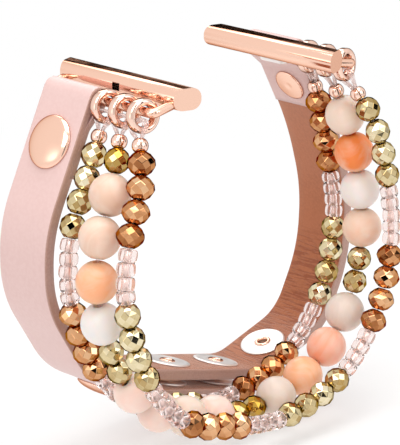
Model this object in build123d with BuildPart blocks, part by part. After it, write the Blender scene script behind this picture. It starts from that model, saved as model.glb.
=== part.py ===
"""Bead watch band: two snap-closed leather halves and three elastic bead strands,
hung from the wire bars of a pair of metal lug adapters.

The frame: X runs along the band, the left half at -X; +Y is the leather side and -Y
the bead side; +Z is up, towards the face of the watch. The origin is midway between
the two lug inserts, where the watch sits. All sizes are in millimetres.
"""
from build123d import *
import math
import os

# Driving dimensions: the lug adapters

insert_spacing = 40.6
insert_depth = 5.4
insert_height = 4.2
insert_edge_radius = 1.9
insert_length = 34.4
insert_end_slant = 1.8
bar_reach = 6.9
bar_drop = 1.8
arm_start_drop = 0.7
arm_inset = 2.0
wire_diameter = 1.8
bail_margin = 1.4
bail_bend_radius = 1.0
socket_depth = 1.3
socket_clearance = 0.03

# Driving dimensions: the sprung lock in each insert

button_length = 7.0
button_width = 2.6
button_height = 1.9
button_proud = 0.6
button_travel = 0.5
lock_clearance = 0.1
spring_strip_thickness = 0.15
spring_pressed_height = 0.5
window_length = 1.9
window_height = 1.5

# Driving dimensions: the leather halves

leather_thickness = 1.3
lining_thickness = 1.0
strap_width = 13.0
strap_tip_width = 12.2
strap_near_edge = 0.0
fold_clearance = 0.15
tongue_length = 15.5
tongue_closing_length = 5.8
tongue_gap = 0.05
lining_butt_gap = 0.2
tip_corner_radius = 5.0
layer_gap = 1.8

# Driving dimensions: the snaps

snap_pitch = 14.3
cap_diameter = 10.4
cap_height = 1.6
flange_diameter = 9.4
socket_height = 1.25
socket_mouth_diameter = 5.0
stud_base_diameter = 7.6
stud_base_height = 0.35
stud_diameter = 3.9
stud_nib_height = 1.0
washer_height = 0.45
eyelet_diameter = 3.2
post_diameter = 2.2
post_clearance = 0.1
loop_back_diameter = 7.0
loop_back_height = 0.5
loop_snap_distance = 10.1
spare_snap_distance = 10.5
first_snap_distance = 7.8
free_snap_distance = 11.9

# Driving dimensions: the strands

ring_diameter = 6.6
ring_wire_depth = 1.5
ring_wire_width = 2.1
ring_edge_chamfer = 0.4
ring_play = 0.1
ring_yaw = 12.0
ring_from_strap = 2.5
ring_from_arm = 2.4
cord_diameter = 0.6
cord_loop_clearance = 0.35
left_cover_to_link = 3.2
right_cover_to_link = 4.2
cover_diameter = 3.1
cover_length = 2.4
cover_seam = 0.14
crimp_play = 0.06
crimp_length = 1.5
crimp_wall = 0.25
crimp_bore_diameter = 1.4
stone_diameter = 8.0
stone_length = 7.8
gold_diameter = 5.0
gold_length = 4.5
copper_diameter = 5.5
copper_length = 4.3
seed_diameter = 3.6
seed_length = 2.36
bead_bore_diameter = 1.3
stone_bore_diameter = 1.7
overrun = 1.0

# How many flat sides the small round pieces have, and the shares of the end loops' bends

snap_sides = 16
post_sides = 8
ring_sides = 16
bore_sides = 4
stone_bore_sides = 6
cord_sides = 6
fitting_rounds = 6
loop_mouth_share = 0.4
loop_round_share = 0.47

# Corners of the outer face of the left half, from the bar to the tip, as (X, Z)

outer_corners = [(-41.3, -25.6), (-41.3, -39.4), (-30.5, -57.2)]
outer_corner_shares = [0.45, 0.45, 0.3, 0.2]
outer_last_bend = 31.6
outer_tip = 3.4
outer_hinge_corner = 3

# Corners of the inner face of the right half, from the bar to the tip, as (X, Z)

inner_corners = [(37.9, -21.2), (42.2, -36.0), (41.4, -49.0), (34.8, -61.6), (17.2, -67.0), (-13.6, -59.0)]
inner_corner_shares = [0.45, 0.45, 0.45, 0.3, 0.15]
inner_hinge_corner = 4

# Corners of the strands between their two links, as (X, Z), and each strand's Y there

strand_corners = [(-32.3, -13.2), (-38.9, -25.5), (-39.2, -38.5), (-33.6, -52.2), (-24.0, -62.4),
                  (1.5, -69.0), (20.0, -64.6), (31.0, -52.5), (34.4, -39.0), (33.2, -26.0), (30.8, -14.0)]
strand_corner_share = 0.46
strand_places = {
    "a": [-3.0, -3.6, -4.1, -4.2, -4.2, -4.2, -4.2, -4.2, -4.1, -3.6, -2.8],
    "b": [-9.7, -11.3, -12.0, -12.1, -12.1, -12.1, -12.1, -12.1, -11.9, -11.3, -9.8],
    "c": [-16.9, -18.9, -19.7, -19.8, -19.8, -19.8, -19.8, -19.8, -19.7, -19.3, -18.0],
}

# The order of the beads from the left cover to the right one, as (kind, how many)

bead_orders = {
    "a": [("gold", 4), ("seed", 5), ("copper", 4), ("seed", 5), ("gold", 4), ("seed", 4),
          ("copper", 4), ("seed", 4), ("gold", 4), ("seed", 4), ("copper", 4)],
    "b": [("gold", 1), ("stone", 4), ("gold", 2), ("stone", 4), ("gold", 2), ("stone", 4),
          ("gold", 2), ("stone", 4)],
    "c": [("copper", 4), ("seed", 4), ("gold", 4), ("seed", 5), ("copper", 4), ("seed", 4),
          ("gold", 4), ("seed", 4), ("copper", 4), ("seed", 5), ("gold", 4)],
}
bead_nodes = {"stone": "stones", "gold": "gold_beads", "copper": "copper_beads", "seed": "seed_beads"}
bead_sizes = {
    "cover": (cover_diameter, cover_length),
    "stone": (stone_diameter, stone_length),
    "gold": (gold_diameter, gold_length),
    "copper": (copper_diameter, copper_length),
    "seed": (seed_diameter, seed_length),
}
bead_sides = {"cover": 12, "stone": 10, "gold": 8, "copper": 8, "seed": 8}

# Profiles of the turned pieces, as (share of the height, share of the radius)

bead_profile_shares = {
    "cover": [(-0.5, 0.62), (-0.3, 0.9), (0, 1), (0.3, 0.9), (0.5, 0.62)],
    "stone": [(-0.5, 0.26), (-0.38, 0.67), (-0.15, 0.97), (0.15, 0.97), (0.38, 0.67), (0.5, 0.26)],
    "gold": [(-0.5, 0.5), (-0.2, 1), (0.2, 1), (0.5, 0.5)],
    "copper": [(-0.5, 0.45), (-0.15, 1), (0.15, 1), (0.5, 0.45)],
    "seed": [(-0.5, 0.6), (0, 1), (0.5, 0.6)],
}
cap_profile_shares = [(0, 0.97), (0.25, 1), (0.7, 0.8), (1, 0.42)]
socket_profile_shares = [(0, 1), (0.33, 1), (0.9, 0.93), (1, 0.85)]
socket_floor_share = 0.33
nib_profile_shares = [(0, 0.9), (0.3, 0.9), (0.8, 1), (1, 0.75)]
nib_bore_share = 0.7
washer_profile_shares = [(0, 1), (0.6, 1), (1, 0.9)]
eyelet_floor_share = 0.5

# Worked-out sizes that several pieces share

strap_thickness = leather_thickness + lining_thickness
wire_radius = wire_diameter / 2
bar_x = insert_spacing / 2 + bar_reach
fold_radius = wire_radius + fold_clearance
strap_middle_y = strap_near_edge + strap_width / 2
spring_free_height = spring_pressed_height + button_travel
bail_width = 2 * (strap_near_edge + strap_width + bail_margin)
first_ring_y = strap_near_edge - ring_from_strap
last_ring_y = ring_from_arm - bail_width / 2
ring_places = {"a": first_ring_y, "b": (first_ring_y + last_ring_y) / 2, "c": last_ring_y}
cord_radius = cord_diameter / 2

os.makedirs("parts", exist_ok=True)


def save(piece, name):
    """Labels a finished piece and writes its file."""
    piece.label = name
    export_step(piece, "parts/" + name + ".step")


# Routes made of straight runs joined by tangent arcs

def unit(vector):
    """A vector's direction."""
    return vector.normalized()


def corner_radii(points, shares):
    """The radius at each corner whose arc takes up its share of the shorter run."""
    radii = []
    for before, corner, after, share in zip(points, points[1:], points[2:], shares):
        arriving = corner - before
        leaving = after - corner
        half_turn = math.radians(arriving.get_angle(leaving)) / 2
        radii.append(share * min(arriving.length, leaving.length) / math.tan(half_turn))
    return radii


def beside(points, distance):
    """A flat route's points moved to its left by a distance, mitred at the corners."""
    moved = []
    for index, point in enumerate(points):
        before = unit(point - points[index - 1]) if index > 0 else unit(points[1] - point)
        after = unit(points[index + 1] - point) if index < len(points) - 1 else before
        left_before = Vector(-before.Y, before.X)
        left_after = Vector(-after.Y, after.X)
        mitre = unit(left_before + left_after)
        moved.append(point + mitre * (distance / mitre.dot(left_before)))
    return moved


def radii_beside(points, radii, distance):
    """The radii of the route that lies to the left by a distance."""
    changed = []
    for index, radius in enumerate(radii):
        arriving = points[index + 1] - points[index]
        leaving = points[index + 2] - points[index + 1]
        turns_left = arriving.X * leaving.Y - arriving.Y * leaving.X > 0
        changed.append(radius - distance if turns_left else radius + distance)
    return changed


def band(points, radii, low, high, near, width):
    """A strip between two distances beside a route drawn in X and Z, as wide as it is in Y."""
    side = Plane(origin=(0, near, 0), x_dir=(1, 0, 0), z_dir=(0, -1, 0))
    with BuildPart() as strip:
        with BuildSketch(side):
            with BuildLine():
                first = FilletPolyline(*beside(points, low), radius=radii_beside(points, radii, low))
                second = FilletPolyline(*beside(points, high), radius=radii_beside(points, radii, high))
                Line(first @ 0, second @ 0)
                Line(first @ 1, second @ 1)
            make_face()
        extrude(amount=-width)
    return strip.part


# The route of each strap half: points on the outer face, the loop round the bar, hinge and snap places

class StrapHalf:
    """Where one leather half runs. Its side is -1 for the left half and 1 for the right."""

    def __init__(self, side, face, corners, shares):
        self.side = side
        self.bar = Vector(side * bar_x, -bar_drop)
        inside = fold_radius + leather_thickness - (strap_thickness if face == "inner" else 0)
        first = Vector(*corners[0])
        reach = first - self.bar
        lean = math.asin(inside / reach.length)
        heading = math.atan2(reach.Y, reach.X) - side * lean
        self.along = Vector(math.cos(heading), math.sin(heading))
        self.inward = Vector(self.along.Y, -self.along.X) * side
        start = self.bar - self.inward * inside
        self.route = [start] + [Vector(*corner) for corner in corners]
        self.radii = corner_radii(self.route, shares)
        if face == "inner":
            self.outer = beside(self.route, side * strap_thickness)
            self.outer_radii = radii_beside(self.route, self.radii, side * strap_thickness)
        else:
            self.outer = self.route
            self.outer_radii = self.radii

    def layer(self, low, high):
        """The strip between two depths below the outer face."""
        inner = -self.side * high
        return band(self.outer, self.outer_radii, inner, -self.side * low, strap_near_edge, strap_width)

    def fold(self):
        """The leather's own route from the first straight run, round the bar and down the tongue."""
        middle = fold_radius + leather_thickness / 2
        flat = -middle + leather_thickness + tongue_gap
        places = [(-middle, tongue_closing_length), (-middle, -middle), (middle, -middle),
                  (middle, wire_radius), (flat, tongue_closing_length), (flat, tongue_length)]
        points = [self.bar + self.inward * across + self.along * down for across, down in places]
        radii = [middle, middle, 2 * middle, 2 * middle]
        return points, radii

    def place(self, along_fold):
        """A point on the outer face that far below the bar, on the first run, and the outward normal."""
        outward = self.inward * -1
        point = self.bar + outward * (fold_radius + leather_thickness) + self.along * along_fold
        return point, outward

    def place_on_run(self, corner, distance, depth):
        """A point a distance past a corner of the outer face, at a depth, and the outward normal."""
        start = self.outer[corner]
        heading = unit(self.outer[corner + 1] - start)
        outward = Vector(-heading.Y, heading.X) * self.side
        return start + heading * distance - outward * depth, outward

    def bend(self, corner, depth):
        """The middle of a corner's arc at a depth below the outer face, and the strap's heading there."""
        point = self.outer[corner]
        arriving = unit(point - self.outer[corner - 1])
        leaving = unit(self.outer[corner + 1] - point)
        heading = unit(arriving + leaving)
        outward = Vector(-heading.Y, heading.X) * self.side
        radius = self.outer_radii[corner - 1]
        half_turn = math.radians(arriving.get_angle(leaving)) / 2
        on_arc = point - outward * (radius / math.cos(half_turn) - radius)
        return on_arc - outward * depth, heading


inner_half = StrapHalf(1, "inner", inner_corners, inner_corner_shares)
closing_corners = []
for distance in (outer_last_bend, outer_tip):
    point, outward = inner_half.place_on_run(5, distance, -layer_gap - strap_thickness)
    closing_corners.append((point.X, point.Y))
outer_half = StrapHalf(-1, "outer", outer_corners + closing_corners, outer_corner_shares)


def in_space(flat, y=0.0):
    """A point drawn in X and Z, put at its Y."""
    return Vector(flat.X, y, flat.Y)


def cutting_plane(point, heading):
    """The plane across the strap at a point, facing the tip."""
    return Plane(origin=in_space(point), x_dir=(0, 1, 0), z_dir=in_space(heading))


# The lug inserts, with the sockets for the bail's ends and the pocket for the lock

pocket_length = button_length + 2 * lock_clearance
pocket_width = button_width + 2 * lock_clearance
pocket_depth = button_height - button_proud + spring_free_height


def arm_plane(side, end):
    """The plane at the mouth of a bail socket, facing out along the arm."""
    start_x = side * (insert_spacing / 2 + insert_depth / 2 - arm_inset)
    start = Vector(start_x, end * bail_width / 2, -arm_start_drop)
    finish = Vector(side * bar_x, end * bail_width / 2, -bar_drop)
    return Plane(origin=start, x_dir=(0, 1, 0), z_dir=finish - start)


def make_insert(side):
    """One insert, in its oval section, with its ends cut to the round of a watch case."""
    middle = side * insert_spacing / 2
    section = Plane(origin=(middle, insert_length / 2, 0), x_dir=(1, 0, 0), z_dir=(0, -1, 0))
    with BuildPart() as insert:
        with BuildSketch(section):
            RectangleRounded(insert_depth, insert_height, insert_edge_radius)
        extrude(amount=insert_length)
        with BuildSketch(Plane.XY.offset(-insert_height)) as plan:
            with BuildLine():
                inner_x = middle - side * insert_depth / 2
                outer_x = middle + side * insert_depth / 2
                end_y = insert_length / 2
                Polyline((inner_x, end_y), (outer_x, end_y - insert_end_slant),
                         (outer_x, insert_end_slant - end_y), (inner_x, -end_y), close=True)
            make_face()
        extrude(amount=2 * insert_height, mode=Mode.INTERSECT)
        for end in (-1, 1):
            with BuildSketch(arm_plane(side, end).offset(-socket_depth)):
                Circle(wire_radius + socket_clearance)
            extrude(amount=socket_depth + arm_inset + overrun, mode=Mode.SUBTRACT)
        with BuildSketch(Plane.XY.offset(-insert_height / 2 - overrun)):
            with Locations((middle, 0)):
                SlotOverall(pocket_length, pocket_width, rotation=90)
        extrude(amount=pocket_depth + overrun, mode=Mode.SUBTRACT)
        window = Plane(origin=(middle, 0, 0), x_dir=(0, 1, 0), z_dir=(side, 0, 0))
        with BuildSketch(window):
            Rectangle(window_length, window_height)
        extrude(amount=insert_depth, mode=Mode.SUBTRACT)
    return insert.part


def make_bail(side):
    """The bent wire whose middle is the bar; its two ends sit in the insert's sockets."""
    ends = [arm_plane(side, end) for end in (-1, 1)]
    starts = [plane.origin - plane.z_dir * (socket_depth - socket_clearance) for plane in ends]
    bends = [Vector(side * bar_x, end * bail_width / 2, -bar_drop) for end in (-1, 1)]
    with BuildPart() as bail:
        with BuildLine() as wire:
            FilletPolyline(starts[0], bends[0], bends[1], starts[1], radius=bail_bend_radius)
        with BuildSketch(Plane(origin=starts[0], z_dir=ends[0].z_dir)):
            Circle(wire_radius)
        sweep(path=wire.line)
    return bail.part


def make_button(side):
    """The catch that clicks into the watch, standing proud of the insert's underside."""
    middle = side * insert_spacing / 2
    low = -insert_height / 2 - button_proud
    with BuildPart() as button:
        with BuildSketch(Plane.XY.offset(low)):
            with Locations((middle, 0)):
                SlotOverall(button_length, button_width, rotation=90)
        extrude(amount=button_height)
        chamfer(button.faces().sort_by(Axis.Z)[0].edges(), length=button_proud / 3)
    return button.part


def make_spring(side):
    """The bowed steel strip that holds the button out, between it and the pocket's roof."""
    middle = side * insert_spacing / 2
    floor = -insert_height / 2 - button_proud + button_height
    strip = Plane(origin=(middle, 0, floor), x_dir=(0, 1, 0), z_dir=(1, 0, 0))
    half = button_length / 2 - button_width / 4
    rise = spring_free_height - spring_strip_thickness
    with BuildPart() as spring:
        with BuildSketch(strip):
            with BuildLine():
                low = ThreePointArc((-half, 0), (0, rise), (half, 0))
                high = ThreePointArc((-half, spring_strip_thickness),
                                     (0, rise + spring_strip_thickness), (half, spring_strip_thickness))
                Line(low @ 0, high @ 0)
                Line(low @ 1, high @ 1)
            make_face()
        extrude(amount=button_width / 2 - 2 * lock_clearance, both=True)
    return spring.part


# Turned pieces: flat-sided solids that stand in for small round ones with few faces

def stacked(stations, sides):
    """A stack of ruled lofts through regular polygons, given as (height, radius)."""
    with BuildPart() as piece:
        for height, radius in stations:
            with BuildSketch(Plane.XY.offset(height)):
                RegularPolygon(radius, sides)
        loft(ruled=True)
    return piece.part


def turned(shares, height, radius, sides, base=0.0):
    """A stack that follows a table of shares of its height and radius."""
    return stacked([(base + high * height, wide * radius) for high, wide in shares], sides)


def rod(diameter, low, high, sides):
    """A flat-sided rod between two heights."""
    return turned([(0, 1), (1, 1)], high - low, diameter / 2, sides, low)


def less(piece, *removed):
    """A piece with others cut out of it."""
    with BuildPart() as rest:
        add(piece)
        for tool in removed:
            add(tool, mode=Mode.SUBTRACT)
    return rest.part


def joined(*pieces):
    """Several solids that are one piece, fused."""
    with BuildPart() as whole:
        for piece in pieces:
            add(piece)
    return whole.part


def snap_plane(point, outward):
    """The plane on a strap's face at a snap, facing out of the loop."""
    return Plane(origin=in_space(point, strap_middle_y), x_dir=(0, 1, 0), z_dir=in_space(outward))


def snap_cap(held):
    """The domed cap on the outer face's plane, with a post through the layers that it holds."""
    dome = turned(cap_profile_shares, cap_height, cap_diameter / 2, snap_sides)
    return joined(dome, rod(post_diameter, -held, cap_height / 2, post_sides))


def snap_socket():
    """The female half, standing on the plane of the inner face, with its mouth upwards."""
    shell = turned(socket_profile_shares, socket_height, flange_diameter / 2, snap_sides)
    floor = socket_height * socket_floor_share
    mouth = rod(socket_mouth_diameter, floor, socket_height + overrun, snap_sides)
    return less(shell, mouth, rod(post_diameter + 2 * post_clearance, -overrun, socket_height, post_sides))


def snap_stud():
    """The male half, standing on the plane of the outer face of the inner half."""
    base = rod(stud_base_diameter, 0, stud_base_height, snap_sides)
    nib_top = stud_base_height + stud_nib_height
    nib = turned(nib_profile_shares, nib_top, stud_diameter / 2, snap_sides)
    bore = rod(post_diameter + 2 * post_clearance, -overrun, nib_top * nib_bore_share, post_sides)
    return less(joined(base, nib), bore)


def snap_washer():
    """The flange on the inner face with its eyelet, whose post passes through to the stud."""
    flange = turned(washer_profile_shares, washer_height, flange_diameter / 2, snap_sides)
    floor = washer_height * eyelet_floor_share
    eyelet = rod(eyelet_diameter, floor, washer_height + overrun, post_sides)
    post = rod(post_diameter, -strap_thickness - stud_base_height, floor, post_sides)
    return joined(less(flange, eyelet), post)


def loop_back():
    """The plate on the folded tongue that the loop cap's post is set into."""
    plate = turned(washer_profile_shares, loop_back_height, loop_back_diameter / 2, snap_sides)
    return less(plate, rod(post_diameter + 2 * post_clearance, -overrun, loop_back_height / 2, post_sides))


def flipped(plane):
    """The same plane facing the other way."""
    return Plane(origin=plane.origin, x_dir=plane.x_dir, z_dir=plane.z_dir * -1)


def on(plane, piece):
    """A piece made at the origin, moved to a plane."""
    return plane.location * piece


def punch(piece, planes):
    """The post holes of the snaps on these planes, cut through a strap layer."""
    with BuildPart() as holed:
        add(piece)
        for plane in planes:
            with BuildSketch(plane.offset(-2 * strap_thickness)):
                RegularPolygon(post_diameter / 2 + post_clearance, post_sides)
            extrude(amount=2 * strap_thickness + overrun, mode=Mode.SUBTRACT)
    return holed.part


# Snap places: the two that close, a third on each half for other sizes, and one at each fold

closing_distances = [first_snap_distance, first_snap_distance + snap_pitch]
inner_snap_planes = [snap_plane(*inner_half.place_on_run(5, distance, 0)) for distance in closing_distances]
outer_snap_planes = [plane.offset(layer_gap + strap_thickness) for plane in inner_snap_planes]
inner_snap_planes.append(snap_plane(*inner_half.place_on_run(4, free_snap_distance, 0)))
outer_snap_planes.append(snap_plane(*outer_half.place_on_run(3, spare_snap_distance, 0)))
loop_snap_planes = {
    "outer": snap_plane(*outer_half.place(loop_snap_distance)),
    "inner": snap_plane(*inner_half.place(loop_snap_distance)),
}


def tapered(piece, half, split_x):
    """A tail narrowed towards its tip, with rounded corners at the end."""
    tip_x = half.outer[-1].X
    with BuildPart() as shaped:
        add(piece)
        with BuildSketch(Plane.XY.offset(-2 * insert_spacing)) as plan:
            with BuildLine():
                Polyline(
                    (split_x, strap_near_edge), (tip_x, strap_middle_y - strap_tip_width / 2),
                    (tip_x, strap_middle_y + strap_tip_width / 2), (split_x, strap_near_edge + strap_width),
                    close=True)
            make_face()
            ends = plan.vertices().group_by(Axis.X)[0 if half.side > 0 else -1]
            fillet(ends, radius=tip_corner_radius)
        extrude(amount=2 * insert_spacing, mode=Mode.INTERSECT)
    return shaped.part


def make_half(half, name, hinge_corner, hinge_depth, snap_planes, loop_plane):
    """The leather and the lining of one half, each in an upper piece and a tail that bends off it."""
    point, heading = half.bend(hinge_corner, hinge_depth)
    print(name, "tail bends about", [round(value, 3) for value in (point.X, point.Y)])
    cut = cutting_plane(point, heading)
    fold_points, fold_radii = half.fold()
    joint = cutting_plane(half.bar + half.along * tongue_closing_length, half.along)
    lining_top = cutting_plane(half.bar + half.along * (tongue_length + lining_butt_gap), half.along)
    with BuildPart() as leather:
        add(half.layer(0, leather_thickness))
        split(bisect_by=joint, keep=Keep.TOP)
        add(band(fold_points, fold_radii, -leather_thickness / 2, leather_thickness / 2,
                 strap_near_edge, strap_width))
    with BuildPart() as lining:
        add(half.layer(leather_thickness, strap_thickness))
        split(bisect_by=lining_top, keep=Keep.TOP)
    for layer, whole in (("leather", leather.part), ("lining", lining.part)):
        with BuildPart() as upper:
            add(whole)
            split(bisect_by=cut, keep=Keep.BOTTOM)
        with BuildPart() as tail:
            add(whole)
            split(bisect_by=cut, keep=Keep.TOP)
        upper_planes = [loop_plane] if layer == "leather" else []
        save(punch(upper.part, upper_planes), name + "_" + layer + "_upper")
        save(punch(tapered(tail.part, half, point.X), snap_planes), name + "_" + layer + "_tail")


# The strands: where each hangs, the loop at each end, and the places of its beads

def flat_unit(start, end):
    """The direction between two points drawn in X and Z."""
    return unit(end - start)


bars = {-1: Vector(-bar_x, -bar_drop), 1: Vector(bar_x, -bar_drop)}
hangs = {
    -1: flat_unit(bars[-1], Vector(*strand_corners[0])),
    1: flat_unit(bars[1], Vector(*strand_corners[-1])),
}
ring_to_bar = ring_diameter / 2 - ring_wire_depth - wire_radius - ring_play
link_to_bar = ring_to_bar + ring_diameter / 2 - ring_wire_depth / 2


def link_point(side, letter):
    """The middle of a ring's lowest part, where the cord loops through."""
    return in_space(bars[side] + hangs[side] * link_to_bar, ring_places[letter])


def ring_plane(side, letter):
    """The plane across a ring at its middle, turned a little about the line that it hangs on."""
    centre = in_space(bars[side] + hangs[side] * ring_to_bar, ring_places[letter])
    hang = in_space(hangs[side])
    axis = Vector(0, -1, 0).rotate(Axis((0, 0, 0), hang), -side * ring_yaw)
    return Plane(origin=centre, x_dir=hang, z_dir=axis)


def make_ring():
    """One closed ring of flat-sided wire with broken edges, round the origin's Z axis."""
    end = ring_wire_width / 2
    shoulder = end - ring_edge_chamfer
    rim = ring_diameter / 2
    bore = rim - ring_wire_depth
    edge = rim - ring_edge_chamfer
    outside = [(-end, edge), (-shoulder, rim), (shoulder, rim), (end, edge)]
    past = end + overrun
    flare = bore + ring_edge_chamfer + overrun
    inside = [(-past, flare), (-shoulder, bore), (shoulder, bore), (past, flare)]
    return less(stacked(outside, ring_sides), stacked(inside, ring_sides))


def tube_along(points, radii):
    """A cord swept along runs and arcs, with the length of its route."""
    with BuildPart() as tube:
        with BuildLine():
            route = FilletPolyline(*points, radius=radii)
        with BuildSketch(Plane(origin=route @ 0, z_dir=route % 0)):
            RegularPolygon(cord_radius, cord_sides)
        sweep(path=route)
    return tube.part, route.length


def end_loop(link, heading, cover_to_link):
    """The cord's loop round a ring: up one side, over and down the other, into the crimp."""
    level = Vector(0, -1, 0)
    across = unit(level - heading * level.dot(heading))
    wide = ring_wire_width / 2 + cord_radius + cord_loop_clearance
    inside = cover_to_link - cover_length / 2
    deep = cover_to_link + crimp_length / 2
    places = [(-cord_radius, deep), (-cord_radius, inside), (-wide, 0), (-wide, -wide),
              (wide, -wide), (wide, 0), (cord_radius, inside), (cord_radius, deep)]
    points = [link + across * sideways + heading * down for sideways, down in places]
    shares = [loop_mouth_share, loop_mouth_share, loop_round_share, loop_round_share,
              loop_mouth_share, loop_mouth_share]
    return tube_along(points, corner_radii(points, shares))


def places_along(route, kinds, spare):
    """How far along the cord each piece's middle is, when neighbours touch inside the bends."""
    places = [left_cover_to_link]
    for before, after in zip(kinds, kinds[1:]):
        step = (bead_sizes[before][1] + bead_sizes[after][1]) / 2 + spare
        here = route.tangent_at(places[-1], position_mode=PositionMode.LENGTH)
        there = route.tangent_at(places[-1] + step, position_mode=PositionMode.LENGTH)
        rims = end_radius(before) + end_radius(after)
        places.append(places[-1] + step + rims * math.tan(math.radians(here.get_angle(there)) / 2))
    return places


def end_radius(kind):
    """The radius of the flat at a bead's end."""
    return bead_sizes[kind][0] / 2 * bead_profile_shares[kind][0][1]


def make_bead(kind):
    """One bead with its bore, lying along the Z axis."""
    diameter, length = bead_sizes[kind]
    body = turned(bead_profile_shares[kind], length, diameter / 2, bead_sides[kind])
    if kind == "stone":
        return less(body, rod(stone_bore_diameter, -length, length, stone_bore_sides))
    return less(body, rod(bead_bore_diameter, -length, length, bore_sides))


def make_cover():
    """A crimp cover: a hollow ball, open along its seam, closed round the crimp."""
    body = turned(bead_profile_shares["cover"], cover_length, cover_diameter / 2, bead_sides["cover"])
    bore = rod(crimp_bore_diameter + 2 * crimp_wall + 2 * crimp_play, -cover_length, cover_length, post_sides)
    with BuildPart() as cover:
        add(less(body, bore))
        with BuildSketch(Plane.XY.offset(-cover_length)):
            Rectangle(cover_diameter, cover_seam, align=(Align.MIN, Align.CENTER))
        extrude(amount=2 * cover_length, mode=Mode.SUBTRACT)
    return cover.part


def make_crimp():
    """The tube pressed on the cord, inside a cover."""
    outside = rod(crimp_bore_diameter + 2 * crimp_wall, -crimp_length / 2, crimp_length / 2, post_sides)
    return less(outside, rod(crimp_bore_diameter, -crimp_length, crimp_length, post_sides))


def make_strand(letter):
    """One strand: the cord with its two loops, the crimps, their covers and the beads."""
    links = [link_point(-1, letter), link_point(1, letter)]
    corners = [Vector(x, y, z) for (x, z), y in zip(strand_corners, strand_places[letter])]
    points = [links[0]] + corners + [links[1]]
    radii = corner_radii(points, [strand_corner_share] * len(corners))
    headings = [unit(points[1] - points[0]), unit(points[-2] - points[-1])]
    reaches = [left_cover_to_link, right_cover_to_link]
    crimped = [link + heading * (reach - crimp_length / 2)
               for link, heading, reach in zip(links, headings, reaches)]
    main, main_length = tube_along([crimped[0]] + corners + [crimped[1]], radii)
    loops = [end_loop(link, heading, reach) for link, heading, reach in zip(links, headings, reaches)]
    cord = joined(main, loops[0][0], loops[1][0])
    with BuildLine(mode=Mode.PRIVATE):
        route = FilletPolyline(*points, radius=radii)
    kinds = ["cover"]
    for kind, count in bead_orders[letter]:
        kinds += [kind] * count
    kinds.append("cover")
    spare = 0.0
    for attempt in range(fitting_rounds):
        places = places_along(route, kinds, spare)
        spare += (route.length - right_cover_to_link - places[-1]) / (len(kinds) - 1)
    section = cord_sides / 2 * cord_radius**2 * math.sin(2 * math.pi / cord_sides)
    print("strand", letter, "from link to link", round(route.length, 2), "spare per bead", round(spare, 4))
    print("cord", letter, "bend radii", [round(radius, 1) for radius in radii])
    print("cord", letter, "volume", round(cord.volume, 2), "main run alone", round(main.volume, 2),
          "section by length", round(section * main_length, 2))
    save(cord, "strand_" + letter + "_cord")
    planes = {kind: [] for kind in kinds}
    for kind, place in zip(kinds, places):
        heading = route.tangent_at(place, position_mode=PositionMode.LENGTH)
        level = Vector(0, -1, 0)
        facing = unit(level - heading * level.dot(heading))
        origin = route.position_at(place, position_mode=PositionMode.LENGTH)
        planes[kind].append(Plane(origin=origin, x_dir=facing, z_dir=heading))
    for kind, name in bead_nodes.items():
        if kind in planes:
            bead = make_bead(kind)
            beads = Compound(children=[on(plane, bead) for plane in planes[kind]])
            save(beads, "strand_" + letter + "_" + name)
    for name, piece in (("crimp_covers", make_cover()), ("crimps", make_crimp())):
        pair = Compound(children=[on(plane, piece) for plane in planes["cover"]])
        save(pair, "strand_" + letter + "_" + name)


# Build order: the lugs first, then the leather, the snaps, the rings and the strands

for side, word in ((-1, "left"), (1, "right")):
    save(make_insert(side), word + "_lug_insert")
    save(make_bail(side), word + "_bar_bail")
    save(make_button(side), word + "_lock_button")
    save(make_spring(side), word + "_lock_spring")

make_half(outer_half, "outer_strap", outer_hinge_corner, 0.0, outer_snap_planes, loop_snap_planes["outer"])
make_half(inner_half, "inner_strap", inner_hinge_corner, strap_thickness, inner_snap_planes,
          loop_snap_planes["inner"])

cap = snap_cap(strap_thickness + socket_height * socket_floor_share)
for number, plane in enumerate(outer_snap_planes, start=1):
    save(on(plane, cap), "closure_cap_" + str(number))
    save(on(flipped(plane.offset(-strap_thickness)), snap_socket()), "closure_socket_" + str(number))

for number, plane in enumerate(inner_snap_planes, start=1):
    save(on(plane, snap_stud()), "closure_stud_" + str(number))
    save(on(flipped(plane.offset(-strap_thickness)), snap_washer()), "closure_washer_" + str(number))

fold_thickness = 2 * leather_thickness + tongue_gap
for name, plane in loop_snap_planes.items():
    save(on(plane, snap_cap(fold_thickness + loop_back_height / 2)), name + "_loop_cap")
    save(on(flipped(plane.offset(-fold_thickness)), loop_back()), name + "_loop_back")

ring = make_ring()
for side, word in ((-1, "left"), (1, "right")):
    for letter in ring_places:
        save(on(ring_plane(side, letter), ring), word + "_ring_" + letter)

for letter in bead_orders:
    make_strand(letter)

for side, word in ((-1, "left"), (1, "right")):
    point = link_point(side, "a")
    print(word, "link at", round(point.X, 3), round(point.Z, 3))
    for letter in ring_places:
        plane = ring_plane(side, letter)
        print(word, "ring", letter, "centre", [round(value, 3) for value in tuple(plane.origin)],
              "axis", [round(value, 4) for value in tuple(plane.z_dir)])
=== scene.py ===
# %% [markdown]
# # A bead watch band, dressed around its CAD frame
# The imported model is the frame: every piece made here is placed by the same sizes
# that the model was built from, and all but the strap layers ride on one of its bodies.

# %% Load the frame
import math
import random

import bpy
import bmesh
from mathutils import Matrix, Vector


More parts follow.
